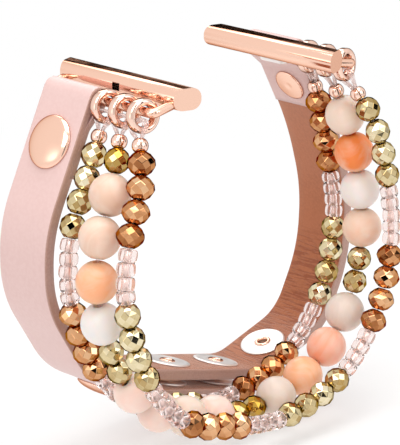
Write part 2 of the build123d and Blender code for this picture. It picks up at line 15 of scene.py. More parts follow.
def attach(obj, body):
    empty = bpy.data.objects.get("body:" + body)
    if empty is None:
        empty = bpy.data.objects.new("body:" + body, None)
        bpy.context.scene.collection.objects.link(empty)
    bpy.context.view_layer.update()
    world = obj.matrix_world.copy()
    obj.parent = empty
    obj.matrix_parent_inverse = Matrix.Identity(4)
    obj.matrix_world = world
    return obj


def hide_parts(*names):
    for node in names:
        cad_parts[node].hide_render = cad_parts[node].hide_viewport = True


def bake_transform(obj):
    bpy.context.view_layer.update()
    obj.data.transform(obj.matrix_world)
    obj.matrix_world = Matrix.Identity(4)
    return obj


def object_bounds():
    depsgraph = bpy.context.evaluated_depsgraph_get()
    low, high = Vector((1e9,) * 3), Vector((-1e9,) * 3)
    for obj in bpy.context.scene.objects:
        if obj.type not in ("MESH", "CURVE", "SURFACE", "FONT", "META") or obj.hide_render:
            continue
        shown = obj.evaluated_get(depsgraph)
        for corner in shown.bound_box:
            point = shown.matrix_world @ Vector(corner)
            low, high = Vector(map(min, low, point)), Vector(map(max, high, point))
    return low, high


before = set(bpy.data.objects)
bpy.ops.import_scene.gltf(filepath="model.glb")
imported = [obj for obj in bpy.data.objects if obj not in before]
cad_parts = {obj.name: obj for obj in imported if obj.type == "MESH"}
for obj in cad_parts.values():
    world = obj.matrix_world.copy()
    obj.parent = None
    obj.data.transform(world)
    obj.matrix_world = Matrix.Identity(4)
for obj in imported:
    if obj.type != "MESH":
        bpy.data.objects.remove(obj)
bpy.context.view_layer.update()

# %% [markdown]
# ## The camera
# A long lens far from the band flattens it as in a product picture. It looks down at
# the corner between the bead side and the outer strap half, so both show at once.
# It comes first, so that each piece can be judged from where it will be seen.

# %% Place the camera
camera_place = (-0.3335, -0.3315, 0.1170)
camera_azimuth = -45.11
camera_elevation = 17.55
camera_lens = 226.3
sensor_width = 36.0
nearest_seen = 0.01


def in_scene(name, data):
    """A new object that holds some data, linked to the scene."""
    made = bpy.data.objects.new(name, data)
    bpy.context.scene.collection.objects.link(made)
    return made


def directions(azimuth, elevation):
    """Unit vectors for a place in degrees round the band: towards it, level, and up."""
    turn_round, rise = math.radians(azimuth), math.radians(elevation)
    toward = Vector((math.sin(turn_round) * math.cos(rise), -math.cos(turn_round) * math.cos(rise),
                     math.sin(rise)))
    level = Vector((math.cos(turn_round), math.sin(turn_round), 0))
    return toward, level, toward.cross(level)


camera_data = bpy.data.cameras.new("view_camera")
camera_data.sensor_width = sensor_width
camera_data.sensor_fit = "HORIZONTAL"
camera_data.lens = camera_lens
camera_data.clip_start = nearest_seen
camera = in_scene("view_camera", camera_data)
back, right, up = directions(camera_azimuth, camera_elevation)
camera.matrix_world = Matrix.Translation(camera_place) @ Matrix((right, up, back)).transposed().to_4x4()
bpy.context.scene.camera = camera
bpy.context.scene.view_settings.view_transform = "Standard"
print("camera at", camera_place)

# %% [markdown]
# ## Sizes shared with the model
# The band was drawn in millimetres, and Blender works in metres. The sizes below are
# the model's own, so each is written as the maker would write it and scaled once,
# when a mesh is made.

# %% Write down the shared sizes
mm = 0.001
bar_x = 27.2
bar_drop = 1.8
wire_radius = 0.9
leather_thickness = 1.3
lining_thickness = 1.0
strap_thickness = leather_thickness + lining_thickness
strap_width = 13.0
strap_middle = strap_width / 2
strap_tip_width = 12.2
tip_corner_radius = 5.0
fold_radius = 1.05
tongue_length = 15.5
tongue_closing_length = 5.8
tongue_gap = 0.05
layer_gap = 1.8
outer_corners = [(-41.3, -25.6), (-41.3, -39.4), (-30.5, -57.2)]
outer_shares = [0.45, 0.45, 0.3, 0.2]
outer_last_bend = 31.6
outer_tip = 3.4
inner_corners = [(37.9, -21.2), (42.2, -36.0), (41.4, -49.0), (34.8, -61.6), (17.2, -67.0), (-13.6, -59.0)]
inner_shares = [0.45, 0.45, 0.45, 0.3, 0.15]
snap_distances = {"first": 7.8, "second": 22.1, "free": 11.9, "spare": 10.5, "loop": 10.1}
print("strap", strap_width, "wide and", strap_thickness, "thick")

# %% [markdown]
# ## Shared effects
# Leather, its painted edges and the lining all have a fine pebbled grain, and every
# metal piece has faint rubbing marks that vary its gloss. Pictures could carry them,
# but noise stays sharp at any distance. Each effect is a node group with named inputs,
# so one change to it shows on every finish that uses it.

# %% Build the shared effects
def set_inputs(node, inputs):
    """Sets inputs: a node links its first output, a (node, output) pair that output."""
    for key, given in inputs.items():
        pair = given if isinstance(given, tuple) else (given, 0)
        socket = node.inputs[key]
        if isinstance(pair[0], bpy.types.Node):
            node.id_data.links.new(pair[0].outputs[pair[1]], socket)
        else:
            socket.default_value = (*given, 1) if socket.type == "RGBA" else given


def add_node(tree, kind, inputs=None, **settings):
    """A shader node with its settings and inputs."""
    node = tree.nodes.new("ShaderNode" + kind)
    for key, value in settings.items():
        setattr(node, key, value)
    set_inputs(node, inputs or {})
    return node


def own_place(tree):
    """The coordinates of the object that wears the finish."""
    return add_node(tree, "TexCoord"), "Object"


def noise(tree, place, scale, detail, roughness=0.5, distortion=0.0):
    """Cloudy noise at a place."""
    return add_node(tree, "TexNoise", {"Vector": place, "Scale": scale, "Detail": detail,
                                       "Roughness": roughness, "Distortion": distortion})


def node_group(name, inputs, outputs):
    """An empty shader node group with number sockets, and its two end nodes."""
    group = bpy.data.node_groups.new(name, "ShaderNodeTree")
    for label, value in inputs.items():
        socket = group.interface.new_socket(name=label, in_out="INPUT", socket_type="NodeSocketFloat")
        socket.default_value = value
    for label in outputs:
        group.interface.new_socket(name=label, in_out="OUTPUT", socket_type="NodeSocketFloat")
    return group, group.nodes.new("NodeGroupInput"), group.nodes.new("NodeGroupOutput")


def grain_group():
    """Pebbled grain: rounded cells with finer noise on them, and a mask of its valleys."""
    group, given, result = node_group("pebbled_grain", {"Cell Scale": 1400.0, "Fine Scale": 5200.0},
                                      ("Height", "Valleys", "Mottle"))
    place = own_place(group)
    cells = add_node(group, "TexVoronoi", {"Vector": place, "Scale": (given, "Cell Scale"),
                                           "Smoothness": 0.6}, feature="SMOOTH_F1")
    fine = noise(group, place, (given, "Fine Scale"), 4.0, 0.6)
    height = add_node(group, "Math", {0: fine, 1: 0.35, 2: cells}, operation="MULTIPLY_ADD")
    valleys = add_node(group, "MapRange", {"Value": cells, "From Min": 0.25, "From Max": 0.75})
    set_inputs(result, {"Height": height, "Valleys": valleys, "Mottle": noise(group, place, 90.0, 3.0)})
    return group


def rubbing_group():
    """Rubbing marks: broad smudges and long fine scratches that vary a metal's gloss."""
    group, given, result = node_group("rubbing_marks", {"Smooth": 0.08, "Rubbed": 0.2},
                                      ("Roughness", "Scratch Height"))
    place = own_place(group)
    stretch = add_node(group, "Mapping", {"Vector": place, "Scale": (1.0, 7.0, 1.0),
                                          "Rotation": (0.4, 0.2, 0.7)})
    spread = add_node(group, "MapRange", {"Value": noise(group, place, 260.0, 5.0, 0.65), "From Min": 0.35,
                                          "From Max": 0.7, "To Min": (given, "Smooth"),
                                          "To Max": (given, "Rubbed")})
    set_inputs(result, {"Roughness": spread, "Scratch Height": noise(group, stretch, 1500.0, 2.0)})
    return group


grain = grain_group()
rubbing = rubbing_group()
print("effects", grain.name, rubbing.name)

# %% [markdown]
# ## Metal finishes
# The hardware is plated: warm rose gold on what shows, bright nickel on the snap
# parts inside, brass under the covers, and a near-black brass as painted shade down
# inside the eyelets. All are the same recipe with other colours, so a function makes
# them, and only the numbers change. The edge tint is the colour that a metal's
# reflections lean to where its surface turns away.

# %% Make the metals
def finish_named(name, inputs):
    """A material, its node tree and its shader, with some of the shader's inputs."""
    finish = bpy.data.materials.new(name)
    finish.use_nodes = True
    shader = finish.node_tree.nodes["Principled BSDF"]
    set_inputs(shader, inputs)
    return finish, finish.node_tree, shader


def bump(tree, height, strength, distance, **settings):
    """Bump from a height, with its distance in millimetres."""
    return add_node(tree, "Bump", {"Height": height, "Strength": strength, "Distance": distance * mm},
                    **settings)


def metal(name, colour, smooth, rubbed, edge_tint=(1, 1, 1)):
    """A plated metal with rubbing marks, whose grazing reflections take the edge tint."""
    finish, tree, shader = finish_named(name, {"Base Color": colour, "Metallic": 1.0,
                                               "Specular Tint": edge_tint})
    marks = add_node(tree, "Group", node_tree=rubbing, inputs={"Smooth": smooth, "Rubbed": rubbed})
    set_inputs(shader, {"Roughness": (marks, "Roughness"),
                        "Normal": bump(tree, (marks, "Scratch Height"), 0.15, 0.004)})
    return finish


rose_gold = metal("rose_gold_plate", (0.95, 0.62, 0.48), 0.08, 0.2, (0.5, 0.25, 0.16))
polished_rose = metal("polished_rose_gold", (0.97, 0.68, 0.56), 0.03, 0.08, (0.08, 0.03, 0.02))
bright_nickel = metal("bright_nickel", (0.88, 0.85, 0.83), 0.45, 0.56)
satin_brass = metal("satin_brass", (0.72, 0.50, 0.24), 0.25, 0.4)
# Painted shade: near-black brass for the post down inside each eyelet, where the hole lies in shadow.
painted_shade_brass = metal("painted_shade_brass", (0.13, 0.07, 0.045), 0.4, 0.55)
spring_steel = metal("spring_steel", (0.55, 0.56, 0.58), 0.2, 0.35)
print("metals", [finish.name for finish in (rose_gold, polished_rose, bright_nickel, satin_brass,
                                          painted_shade_brass, spring_steel)])

# %% [markdown]
# ## Leather finishes
# The outer face is pale pink leather with a tight, slightly satin grain. Its cut
# edges are sealed with a mauve-brown paint. The lining is a smoother terracotta
# leather, with fine creases across the strap in its lower stretch, where it bends; the
# crease lines are also darkened in colour as painted shade. All of it is colour and
# bump, since pebbles this small would need a very heavy mesh.

# %% Make the leathers
def mixed(tree, share, colour, other, **settings):
    """The colour between two others."""
    return add_node(tree, "Mix", data_type="RGBA", **settings,
                    inputs={"Factor": share, "A": colour, "B": other}), "Result"


def leather(name, colour, deep_colour, roughness, height, cell_scale, coat=0.0):
    """Grained leather whose valleys and mottling lean towards a deeper colour."""
    finish, tree, shader = finish_named(name, {
        "Roughness": roughness, "Specular IOR Level": 0.4, "Coat Weight": coat, "Coat Roughness": 0.35,
        "Sheen Weight": 0.08, "Sheen Roughness": 0.5})
    pebbles = add_node(tree, "Group", node_tree=grain,
                       inputs={"Cell Scale": cell_scale, "Fine Scale": cell_scale * 4})
    depth = add_node(tree, "Math", {0: (pebbles, "Valleys"), 1: (pebbles, "Mottle")}, operation="MULTIPLY")
    tint = mixed(tree, depth, colour, deep_colour)
    grained = bump(tree, (pebbles, "Height"), 0.35, height)
    set_inputs(shader, {"Base Color": tint, "Normal": grained})
    return finish, tree, shader, tint, grained


def creased_lining():
    """Terracotta lining: the leather recipe, with creases across the strap whose lines are darkened as
    painted shade.
    """
    finish, tree, shader, tint, grained = leather(
        "terracotta_lining", (0.47, 0.155, 0.062), (0.39, 0.12, 0.046), 0.5, 0.03, 1900.0)
    stretch = add_node(tree, "Mapping", {"Vector": own_place(tree), "Scale": (1.0, 0.1, 1.0)})
    waves = noise(tree, stretch, 2000.0, 3.0, 0.5, 0.4)
    lines = add_node(tree, "MapRange", {"Value": waves, "From Min": 0.42, "From Max": 0.52})
    flip = add_node(tree, "Math", {0: 1.0, 1: lines}, operation="SUBTRACT")
    low_stretch = add_node(tree, "Attribute", attribute_name="crease")
    crease_and_shade = add_node(tree, "Math", {0: flip, 1: (low_stretch, "Fac")}, operation="MULTIPLY")
    set_inputs(grained, {"Normal": bump(tree, crease_and_shade, 0.9, 0.08, invert=True)})
    # Painted shade: the crease lines are multiplied darker in colour, as well as bumped.
    set_inputs(shader, {"Base Color": mixed(tree, crease_and_shade, tint, (0.74, 0.62, 0.58), blend_type="MULTIPLY"),
                        "Sheen Weight": 0.9, "Sheen Tint": (1.0, 0.8, 0.7), "Sheen Roughness": 0.45,
                        "Specular IOR Level": 0.25})
    return finish


pink_leather = leather("pink_leather", (0.76, 0.535, 0.505), (0.72, 0.485, 0.455), 0.46, 0.03, 1500.0,
                       0.08)[0]
edge_paint = leather("painted_edge", (0.5, 0.31, 0.255), (0.43, 0.25, 0.205), 0.36, 0.012, 2600.0, 0.15)[0]
lining_leather = creased_lining()
print("leathers", [finish.name for finish in (pink_leather, edge_paint, lining_leather)])

# %% [markdown]
# ## The coat of the cut glass
# The cut glass beads wear a metallic coat that shifts from facet to facet. A finish
# for each shade would be many finishes, so each face carries a random number instead,
# which picks its place on a colour ramp.

# %% Coat the cut glass
def coated_glass(name, stops, edge_tint):
    """A metallic coat whose colour comes from each facet's own number."""
    finish, tree, shader = finish_named(name, {"Metallic": 1.0, "Specular Tint": edge_tint})
    facet = add_node(tree, "Attribute", attribute_name="facet")
    tone = add_node(tree, "Math", operation="MULTIPLY_ADD",
                    inputs={0: noise(tree, own_place(tree), 700.0, 2.0), 1: 0.25, 2: (facet, "Fac")})
    ramp = add_node(tree, "ValToRGB", {"Fac": tone})
    while len(ramp.color_ramp.elements) < len(stops):
        ramp.color_ramp.elements.new(0.5)
    for element, (share, colour) in zip(ramp.color_ramp.elements, stops):
        element.position = share
        element.color = (*colour, 1)
    marks = add_node(tree, "Group", node_tree=rubbing, inputs={"Smooth": 0.03, "Rubbed": 0.1})
    set_inputs(shader, {"Base Color": ramp, "Roughness": (marks, "Roughness")})
    return finish


gold_coat = coated_glass("gold_coat", [(0.0, (0.50, 0.29, 0.05)), (0.25, (0.46, 0.32, 0.14)),
                                       (0.55, (0.68, 0.56, 0.32)), (1.0, (0.87, 0.78, 0.56))],
                         (0.10, 0.07, 0.02))
copper_coat = coated_glass("copper_coat", [(0.0, (0.12, 0.04, 0.014)), (0.28, (0.37, 0.14, 0.05)),
                                           (0.6, (0.64, 0.31, 0.14)), (1.0, (0.82, 0.52, 0.30))],
                           (0.12, 0.03, 0.01))
print("coats", gold_coat.name, copper_coat.name)

# %% [markdown]
# ## Stone, clear glass and cord
# The stones are milky and let light in a little way, so they use subsurface light, and
# each carries its own tint. The seed beads are clear pink glass over a silver lining,
# and the cords are clear too. Clear materials get a deeper colour painted at their
# outline, where they turn away from the view: painted shade standing for the longer
# path of the light through them.

# %% Make the stone and the clear finishes
def milky_stone():
    """Polished milky stone with cloudy veins, tinted by each stone's own colour."""
    finish, tree, shader = finish_named("milky_stone", {
        "Subsurface Weight": 0.85, "Subsurface Scale": 3.0 * mm, "Subsurface Radius": (1.0, 0.65, 0.5),
        "Coat Weight": 0.2, "Coat Roughness": 0.2, "Specular IOR Level": 0.35})
    tint = add_node(tree, "Attribute", attribute_name="stone_tint")
    cloud = noise(tree, own_place(tree), 150.0, 4.0, 0.55, 1.4)
    veins = add_node(tree, "MapRange", {"Value": cloud, "From Min": 0.4, "From Max": 0.7, "To Max": 0.38})
    gloss = add_node(tree, "MapRange", {"Value": cloud, "To Min": 0.26, "To Max": 0.42})
    set_inputs(shader, {"Base Color": mixed(tree, veins, (tint, "Color"), (0.93, 0.82, 0.74)),
                        "Roughness": gloss})
    return finish


def clear_glass(name, colour, outline_shade_colour, roughness, ior, clarity):
    """Clear tinted glass or resin with a faint waviness, and painted shade: a deeper colour at its outline.
    """
    finish, tree, shader = finish_named(name, {"Roughness": roughness, "IOR": ior,
                                               "Transmission Weight": clarity})
    # Painted shade: the outline colour is mixed in where the surface turns away from the view.
    weight = add_node(tree, "LayerWeight", {"Blend": 0.5})
    share = add_node(tree, "MapRange", interpolation_type="SMOOTHSTEP",
                     inputs={"Value": (weight, "Facing"), "From Min": 0.55, "From Max": 0.95})
    ripple = noise(tree, own_place(tree), 900.0, 2.0)
    set_inputs(shader, {"Base Color": mixed(tree, share, colour, outline_shade_colour),
                        "Normal": bump(tree, ripple, 0.1, 0.02)})
    return finish


stone_finish = milky_stone()
# The second colour of each clear finish is its painted outline shade.
seed_glass = clear_glass("seed_glass", (0.98, 0.86, 0.83), (0.45, 0.22, 0.18), 0.02, 1.3, 0.9)
seed_lining = metal("seed_lining", (1.0, 0.95, 0.93), 0.25, 0.35)
elastic = clear_glass("clear_elastic", (0.99, 0.91, 0.89), (0.85, 0.62, 0.58), 0.15, 1.15, 0.85)
print("clear finishes", seed_glass.name, elastic.name)

# %% [markdown]
# ## Where the straps run
# Each strap half is drawn as a route of straight runs with rounded corners, seen from
# the bead side. A curve pulled into place by eye would drift from the model's snaps
# and folds, so these helpers draw the model's own arcs again.

# %% Move and round a route
def left_of(heading):
    """The flat direction a quarter turn to the left."""
    return Vector((-heading.y, heading.x))


def corner_radii(points, shares):
    """The radius at each corner whose arc takes up its share of the shorter run."""
    radii = []
    for before, corner, after, share in zip(points, points[1:], points[2:], shares):
        half_turn = (corner - before).angle(after - corner) / 2
        radii.append(share * min((corner - before).length, (after - corner).length) / math.tan(half_turn))
    return radii


def beside(points, radii, distance):
    """A flat route and its corner radii, moved to its left by a distance with mitred corners."""
    headings = [(after - before).normalized() for before, after in zip(points, points[1:])]
    moved = []
    for point, before, after in zip(points, headings[:1] + headings, headings + headings[-1:]):
        mitre = (left_of(before) + left_of(after)).normalized()
        moved.append(point + mitre * (distance / mitre.dot(left_of(before))))
    changed = [radius - distance if left_of(before).dot(after) > 0 else radius + distance
               for before, after, radius in zip(headings, headings[1:], radii)]
    return moved, changed


def rounded_route(points, radii, step):
    """Closely spaced (point, heading) pairs along runs and arcs."""
    stations = []
    reached = points[0]
    for before, corner, after, radius in zip(points, points[1:], points[2:], radii):
        arriving, leaving = (corner - before).normalized(), (after - corner).normalized()
        turn = abs(arriving.angle_signed(leaving))
        cut = radius * math.tan(turn / 2)
        start = corner - arriving * cut
        count = max(2, round((start - reached).length / step))
        stations += [(reached.lerp(start, share / count), arriving) for share in range(count)]
        side = 1 if left_of(arriving).dot(leaving) > 0 else -1
        centre = start + left_of(arriving) * radius * side
        count = max(3, round(radius * turn / (step / 2)))
        for share in range(count):
            swing = Matrix.Rotation(side * turn * share / count, 2)
            stations.append((centre + swing @ (start - centre), swing @ arriving))
        reached = corner + leaving * cut
    count = max(2, round((points[-1] - reached).length / step))
    heading = (points[-1] - points[-2]).normalized()
    return stations + [(reached.lerp(points[-1], share / count), heading) for share in range(count + 1)]


shown_radii = corner_radii([Vector(corner) for corner in inner_corners], inner_shares)
print("corner radii", [round(radius, 1) for radius in shown_radii])

# %% [markdown]
# The outer face of each half starts beside its bar. Snaps are found on it by their
# distance past a corner, as they would be marked on a cut strap, and each hinge lies
# in the middle of a bend.

# %% Place the two halves
def strap_half(side, inner_face, corners, shares):
    """The outer face of one half, with the places of its bar and of its first run."""
    bar = Vector((side * bar_x, -bar_drop))
    inside = fold_radius + leather_thickness - (strap_thickness if inner_face else 0)
    reach = Vector(corners[0]) - bar
    heading = math.atan2(reach.y, reach.x) - side * math.asin(inside / reach.length)
    along = Vector((math.cos(heading), math.sin(heading)))
    inward = left_of(along) * -side
    route = [bar - inward * inside] + [Vector(corner) for corner in corners]
    radii = corner_radii(route, shares)
    if inner_face:
        route, radii = beside(route, radii, side * strap_thickness)
    return {"side": side, "bar": bar, "along": along, "inward": inward, "route": route, "radii": radii}


def on_run(half, corner, distance, depth):
    """A point past a corner of the outer face, at a depth below it, and the outward direction."""
    start = half["route"][corner]
    heading = (half["route"][corner + 1] - start).normalized()
    outward = left_of(heading) * half["side"]
    return start + heading * distance - outward * depth, outward


def bend_of(half, corner, depth):
    """The middle of a corner's arc at a depth below the outer face, and the heading there."""
    before, point, after = half["route"][corner - 1:corner + 2]
    arriving, leaving = (point - before).normalized(), (after - point).normalized()
    heading = (arriving + leaving).normalized()
    radius = half["radii"][corner - 1]
    rise = radius / math.cos(arriving.angle(leaving) / 2) - radius
    return point - left_of(heading) * half["side"] * (rise + depth), heading


inner_half = strap_half(1, True, inner_corners, inner_shares)
closing = [on_run(inner_half, 5, distance, -layer_gap - strap_thickness)[0]
           for distance in (outer_last_bend, outer_tip)]
outer_half = strap_half(-1, False, outer_corners + [tuple(point) for point in closing], outer_shares)
outer_hinge = bend_of(outer_half, 3, 0)
inner_hinge = bend_of(inner_half, 4, strap_thickness)
print("hinges at", [round(value, 3) for value in (*outer_hinge[0], *inner_hinge[0])])

# %% [markdown]
# ## The leather straps
# A strap is a leather with a lining glued to it. Each layer is one long strip with a
# rounded-rectangle section, which keeps its full width down to the hinge and draws in
# from there to the rounded tip.

# %% Draw the section
edge_round = 0.34
seam_round = 0.03
edge_steps = 4
face_steps = 6
face_lean = 0.8


def section(width_low, width_high, thickness, roundings):
    """A rounded rectangle as (across, out, is edge): across is Y, and out is away from the loop."""
    half = thickness / 2
    high, low = roundings
    corners = [(width_high - high, half - high, 0, high), (width_low + high, half - high, 1, high),
               (width_low + low, low - half, 2, low), (width_high - low, low - half, 3, low)]
    ring = []
    for across, out, quarter, rounding in corners:
        for step in range(edge_steps + 1):
            angle = math.pi / 2 * (quarter + step / edge_steps)
            sideways, outwards = rounding * math.cos(angle), rounding * math.sin(angle)
            ring.append((across + sideways, out + outwards, abs(math.sin(angle)) <= face_lean))
        if quarter in (0, 2):
            far = corners[quarter + 1][0]
            out += rounding if quarter == 0 else -rounding
            ring += [(across + (far - across) * step / face_steps, out, False)
                     for step in range(1, face_steps)]
    return ring


def half_width(half, point, split_x):
    """Half the strap's width at a place on its route: full, then narrowing to the round tip."""
    tip_x = half["route"][-1].x
    side = half["side"]
    if (point.x - split_x) * side > 0 or point.y > outer_hinge[0].y + strap_width:
        return strap_width / 2
    share = (point.x - split_x) / (tip_x - split_x)
    width = (strap_width + (strap_tip_width - strap_width) * share) / 2
    short = tip_corner_radius - (point.x - tip_x) * side
    if short > 0:
        width -= tip_corner_radius - math.sqrt(max(tip_corner_radius**2 - short**2, 0))
    return width


print("points in a section", len(section(0, strap_width, leather_thickness, (edge_round, seam_round))))

# %% [markdown]
# A section is set at every station of the route, and a tube of faces joins them. A
# plain box with a bend modifier would need fewer lines, but many stations keep the
# bends smooth. The leather goes round the bar, and the lining starts where the
# leather's tongue ends. The cut edges take the edge paint.

# %% Sweep the strips
station_step = 1.2
tip_steps = (2.2, 1.4, 0.8, 0.4, 0.15, 0)
crease_top = -43.0
crease_fade = 6.0


def tube_faces(rows, count):
    """The faces of a tube of rows that have the same count of points, with both its ends."""
    faces = []
    for row in range(rows - 1):
        low, high = row * count, (row + 1) * count
        for column in range(count):
            after = (column + 1) % count
            faces.append((low + column, low + after, high + after, high + column))
    last = (rows - 1) * count
    return faces + [tuple(reversed(range(count))), tuple(last + column for column in range(count))]


def piece(name, points, faces, finishes, face_finishes=None, smooth=True):
    """A mesh object in metres from points in millimetres."""
    mesh = bpy.data.meshes.new(name)
    mesh.from_pydata([tuple(point * mm) for point in points], [], faces)
    for finish in finishes:
        mesh.materials.append(finish)
    if face_finishes:
        mesh.polygons.foreach_set("material_index", face_finishes)
    mesh.polygons.foreach_set("use_smooth", [smooth] * len(mesh.polygons))
    shaped = bmesh.new()
    shaped.from_mesh(mesh)
    bmesh.ops.recalc_face_normals(shaped, faces=shaped.faces)
    shaped.to_mesh(mesh)
    shaped.free()
    return in_scene(name, mesh)


def mark(made, name, domain, values):
    """Writes a number on each point or face of a piece, for its finish to read."""
    made.data.attributes.new(name, "FLOAT", domain).data.foreach_set("value", values)


def strip(name, half, points, radii, thickness, split_x, face_finish, roundings):
    """One layer of a strap along its middle line, with painted edges, creased where it hangs low."""
    body = rounded_route(points, radii, station_step)
    end, last_heading = body.pop()
    tip = [(end - last_heading * short, last_heading) for short in tip_steps]
    stations = [station for station in body
                if (station[0] - tip[0][0]).dot(last_heading) < 0 or station[0].y > end.y + strap_width]
    stations += tip
    verts, creases = [], []
    for point, heading in stations:
        width = half_width(half, point, split_x)
        ring = section(strap_middle - width, strap_middle + width, thickness, roundings)
        for across, out, edge in ring:
            place = point + left_of(heading) * half["side"] * out
            verts.append(Vector((place.x, across, place.y)))
            creases.append(min(max((crease_top - point.y) / crease_fade, 0), 1))
    edges = [int(one[2] or other[2]) for one, other in zip(ring, ring[1:] + ring[:1])]
    made = piece(name, verts, tube_faces(len(stations), len(ring)), [face_finish, edge_paint],
                 edges * (len(stations) - 1) + [1, 1])
    mark(made, "crease", "POINT", creases)
    return made


def leather_route(half):
    """The leather's middle line: from the end of the tongue, round the bar and down to the tip."""
    middle = fold_radius + leather_thickness / 2
    flat = -middle + leather_thickness + tongue_gap
    places = [(flat, tongue_length), (flat, tongue_closing_length), (middle, wire_radius),
              (middle, -middle), (-middle, -middle)]
    fold = [half["bar"] + half["inward"] * across + half["along"] * down for across, down in places]
    depth = -half["side"] * leather_thickness / 2
    run, radii = beside(half["route"], half["radii"], depth)
    return fold + run[1:], [2 * middle, 2 * middle, middle, middle] + radii


def lining_route(half):
    """The lining's middle line, from just below the tongue to the tip."""
    depth = -half["side"] * (leather_thickness + lining_thickness / 2)
    run, radii = beside(half["route"], half["radii"], depth)
    start = half["bar"] + half["along"] * (tongue_length + seam_round)
    heading = (run[1] - run[0]).normalized()
    run[0] = run[0] + heading * (start - run[0]).dot(heading)
    return run, radii


for word, half, hinge in (("outer", outer_half, outer_hinge), ("inner", inner_half, inner_hinge)):
    for layer, route, thickness, finish, roundings in (
            ("leather", leather_route(half), leather_thickness, pink_leather, (edge_round, seam_round)),
            ("lining", lining_route(half), lining_thickness, lining_leather, (seam_round, edge_round))):
        name = word + "_strap_" + layer
        made = strip(name + "_skin", half, *route, thickness, hinge[0].x, finish, roundings)
        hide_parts(name + "_upper", name + "_tail")
        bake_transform(made)
        print(made.name, "faces", len(made.data.polygons))

# %% [markdown]
# ## Turning
# Most small pieces are turned, as on a lathe: a profile of heights and radii is spun
# round an axis. A screw modifier does the same, but a plain list of points can also be
# faceted, pressed and copied.

# %% Turn a profile
def circle(radius, height, sides, shift=0.0):
    """Points round the Z axis, turned on by a share of one step."""
    angles = [2 * math.pi * (step + shift) / sides for step in range(sides)]
    return [Vector((radius * math.cos(angle), radius * math.sin(angle), height)) for angle in angles]


def turned(profile, sides, closed=False):
    """A lathe shape from (height, radius) pairs: a radius of zero closes it at the axis."""
    points, faces, rings = [], [], []
    for height, radius in profile:
        added = circle(radius, height, sides) if radius else [Vector((0, 0, height))]
        rings.append(range(len(points), len(points) + len(added)))
        points += added
    for low, high in zip(rings, rings[1:] + (rings[:1] if closed else [])):
        for step in range(sides):
            corners = ((low, step), (low, step + 1), (high, step + 1), (high, step))
            faces.append(tuple(dict.fromkeys(ring[place % len(ring)] for ring, place in corners)))
    return points, faces


def scaled(radius, *pairs):
    """A profile from (height, share of the radius) pairs."""
    return [(height, radius * share) for height, share in pairs]


print("a turned cone has", len(turned([(0, 1), (1, 0)], 8)[1]), "faces")

# %% [markdown]
# ## The snap fasteners
# A snap has a domed cap outside, a socket behind it, and on the other strap a stud
# whose foot shows as a round washer with a rolled eyelet in its middle. All are turned
# profiles, written from the strap's face outwards. The folds at the bars are held by
# the same caps, set like rivets on small plates.

# %% Turn the snap parts
fine_sides = 72
eyelet_sides = 48
small_sides = 32
cap_radius = 5.2
cap_height = 1.6
flange_radius = 4.7
socket_height = 1.25
washer_height = 0.45
stud_base_radius = 3.8
stud_base_height = 0.35
stud_radius = 1.95
stud_top = 1.35
plate_radius = 3.5
plate_height = 0.5
knurl_ribs = 112
knurl_depth = 0.12
knurl_heights = (0.05, 0.66)
knurl_reach = 0.9
dome_start = math.radians(18)
dome_power = 0.9
dome_steps = 14
fold_thickness = 2 * leather_thickness + tongue_gap


def knurled(shape):
    """A turned shape whose every other line of rim points is drawn in."""
    reach = max(math.hypot(point.x, point.y) for point in shape[0])
    for point in shape[0]:
        radius = math.hypot(point.x, point.y)
        line = round(math.atan2(point.y, point.x) / (2 * math.pi) * knurl_ribs)
        if knurl_heights[0] < point.z < knurl_heights[1] and radius > reach * knurl_reach and line % 2:
            point.x *= 1 - knurl_depth / radius
            point.y *= 1 - knurl_depth / radius
    return shape


dome_angles = [dome_start + (math.pi / 2 - dome_start) * step / dome_steps for step in range(dome_steps)]
cap_dome = [(cap_height * math.sin(angle) ** dome_power, math.cos(angle)) for angle in dome_angles]
cap_profile = scaled(cap_radius, (0, 0), (0, 0.93), (0.06, 0.975), (0.2, 1), (0.38, 0.99),
                     *[pair for pair in cap_dome if pair[0] > 0.5], (cap_height, 0))
socket_profile = scaled(flange_radius, (0, 0), (0, 0.96), (0.15, 1), (0.4, 1), (0.62, 0.96), (0.75, 0.86),
                        (0.8, 0.74), (1.0, 0.68), (1.18, 0.66), (socket_height, 0.62), (1.2, 0.58),
                        (1.05, 0.54), (0.42, 0.54), (0.42, 0))
stud_profile = scaled(stud_base_radius, (0, 0), (0, 0.96), (0.12, 1), (0.26, 0.98), (stud_base_height, 0.9))
stud_profile += scaled(stud_radius, (0.4, 1.1), (0.5, 0.93), (0.8, 0.9), (1.05, 1), (stud_top - 0.12, 0.95),
                       (stud_top, 0.78), (stud_top, 0.42), (stud_top - 0.35, 0.36), (stud_top - 0.4, 0))
washer_profile = scaled(flange_radius, (0, 0), (0, 0.97), (0.1, 1), (0.26, 0.99), (0.38, 0.94),
                        (washer_height, 0.87), (0.4, 0.8), (0.34, 0.72), (0.32, 0.45))
washer_profile += [(0.32, 1.3), (0.06, 1.3), (0.06, 0)]
eyelet_profile = [(0.3, 1.62), (0.42, 1.6), (0.54, 1.45), (0.57, 1.25), (0.5, 1.05), (0.34, 0.92),
                  (0.09, 0.88)]
hollow_profile = [(0.3, 0.93), (0.14, 0.9), (0.1, 0.7), (0.08, 0)]
plate_profile = scaled(plate_radius, (0, 0), (0, 0.97), (0.12, 1), (0.3, 0.98), (0.42, 0.88), (0.45, 0.45),
                       (plate_height, 0.38), (plate_height, 0.2), (0.4, 0.12), (0.4, 0))
cap_shape = turned(cap_profile, fine_sides)
print("snap profiles", len(cap_profile), len(socket_profile), len(stud_profile), len(washer_profile))

# %% [markdown]
# Each snap part is set on its strap's face by its distance along the leather. The
# parts that face out of the loop stand on the leather, and those that face into it
# stand on the lining. One helper sets out any number of copies of a shape as one piece,
# on its body, and the beads use it too.

